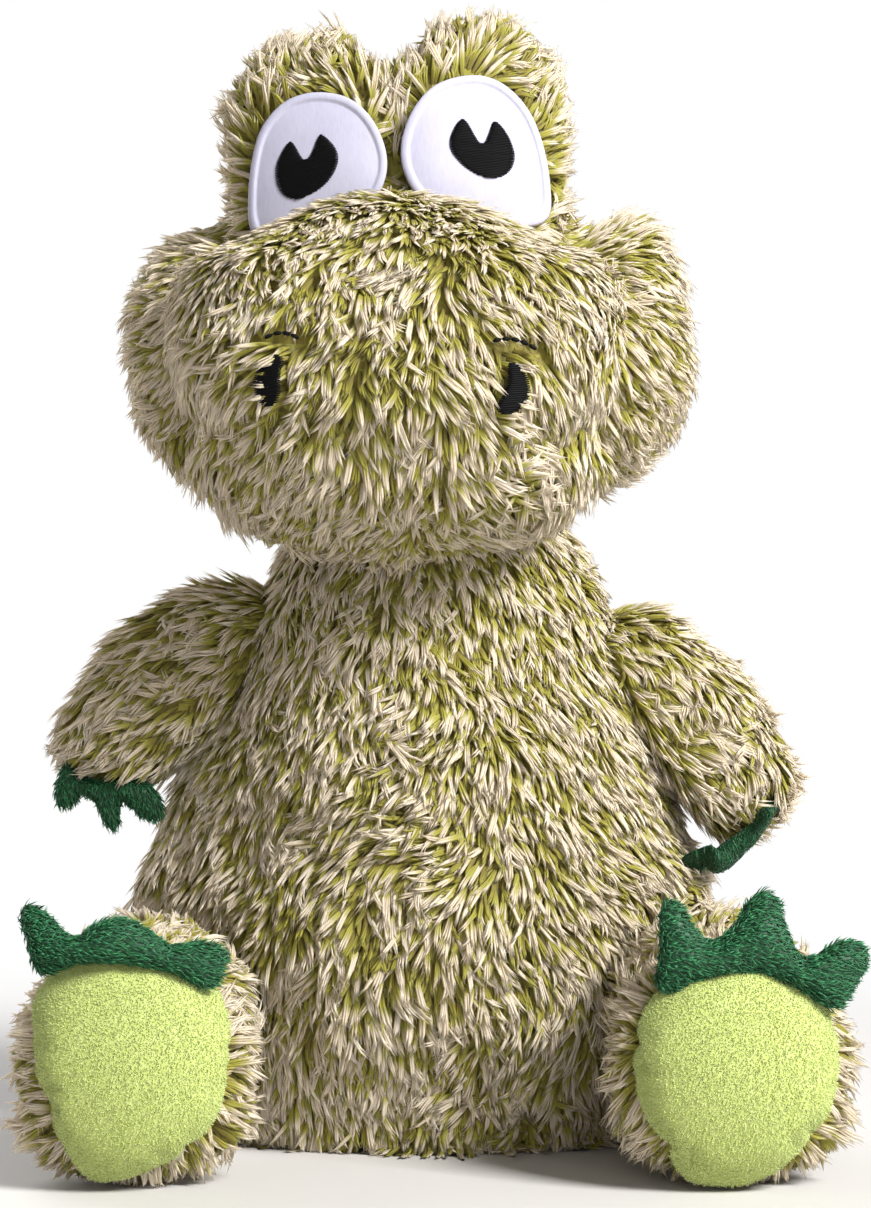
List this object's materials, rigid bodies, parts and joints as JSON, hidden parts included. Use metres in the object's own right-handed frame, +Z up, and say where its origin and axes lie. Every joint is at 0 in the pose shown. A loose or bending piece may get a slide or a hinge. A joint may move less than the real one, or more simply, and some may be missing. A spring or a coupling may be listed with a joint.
{
  "type": "plush dog toy",
  "caption": "Seated plush alligator dog toy of long frosted pile, with padded fabric eyes, wide muzzle, fleece soles, soft claws, tail and hidden squeakers; head and limbs turn on sewn joints.",
  "frame": {"origin": "middle of the flat seat panel, on the floor", "axes": "+Z up, the face looks along -Y, the toy's own left is +X"},
  "size_m": [0.2052, 0.2413, 0.2986],
  "materials": {
    "plush": "long frosted pile, olive roots and cream tips",
    "filling": "loose polyester fibre",
    "fleece": "short lime fleece",
    "minky": "short dense dark green pile",
    "satin": "smooth white satin",
    "thread": "black satin stitch",
    "vinyl": "soft white vinyl",
    "reed": "hard moulded plastic"
  },
  "bodies": {
    "torso": {"torso_front_cover": "plush", "torso_back_cover": "plush", "torso_base_panel": "plush", "torso_filling": "filling", "torso_squeaker_bulb": "vinyl", "torso_squeaker_reed": "reed"},
    "neck": {"neck_core": "filling"},
    "head": {"skull_cover": "plush", "skull_filling": "filling", "head_squeaker_bulb": "vinyl", "head_squeaker_reed": "reed", "muzzle_cover": "plush", "muzzle_filling": "filling", "jaw_cover": "plush", "jaw_filling": "filling", "right_cheek_cover": "plush", "right_cheek_filling": "filling", "left_cheek_cover": "plush", "left_cheek_filling": "filling", "right_eye_mound_cover": "plush", "right_eye_mound_filling": "filling", "left_eye_mound_cover": "plush", "left_eye_mound_filling": "filling", "right_eye": "satin", "left_eye": "satin", "right_pupil": "thread", "left_pupil": "thread", "right_nostril": "thread", "left_nostril": "thread", "right_nostril_fold": "thread", "left_nostril_fold": "thread"},
    "right_arm": {"right_arm_cover": "plush", "right_arm_filling": "filling", "right_hand_claws": "minky"},
    "left_arm": {"left_arm_cover": "plush", "left_arm_filling": "filling", "left_hand_claws": "minky"},
    "right_leg": {"right_leg_cover": "plush", "right_leg_filling": "filling", "right_foot_pad": "fleece", "right_foot_claws": "minky"},
    "left_leg": {"left_leg_cover": "plush", "left_leg_filling": "filling", "left_foot_pad": "fleece", "left_foot_claws": "minky"},
    "tail": {"tail_cover": "plush", "tail_filling": "filling"}
  },
  "joints": [
    {"name": "neck_nod", "type": "hinge", "parent": "torso", "child": "neck", "pos_m": [0, 0.004, 0.142], "axis": [1, 0, 0], "range_deg": [-12, 10], "stiffness_Nm_per_rad": 2},
    {"name": "head_turn", "type": "hinge", "parent": "neck", "child": "head", "pos_m": [0, 0.004, 0.142], "axis": [0, 0, 1], "range_deg": [-30, 30], "stiffness_Nm_per_rad": 0.8},
    {"name": "right_arm_swing", "type": "hinge", "parent": "torso", "child": "right_arm", "pos_m": [-0.05005, 0.00358, 0.127], "axis": [-0.9023, 0, 0.431], "range_deg": [-30, 50], "stiffness_Nm_per_rad": 0.15},
    {"name": "left_arm_swing", "type": "hinge", "parent": "torso", "child": "left_arm", "pos_m": [0.05005, 0.00358, 0.127], "axis": [-0.9023, 0, -0.431], "range_deg": [-30, 50], "stiffness_Nm_per_rad": 0.15},
    {"name": "right_leg_lift", "type": "hinge", "parent": "torso", "child": "right_leg", "pos_m": [-0.07175, -0.05044, 0.036], "axis": [-1, 0, 0], "range_deg": [-10, 25], "stiffness_Nm_per_rad": 0.4},
    {"name": "left_leg_lift", "type": "hinge", "parent": "torso", "child": "left_leg", "pos_m": [0.07175, -0.05044, 0.036], "axis": [-1, 0, 0], "range_deg": [-10, 25], "stiffness_Nm_per_rad": 0.4},
    {"name": "tail_wag", "type": "hinge", "parent": "torso", "child": "tail", "pos_m": [0, 0.06949, 0.0245], "axis": [0, 0, 1], "range_deg": [-25, 25], "stiffness_Nm_per_rad": 0.2}
  ]
}
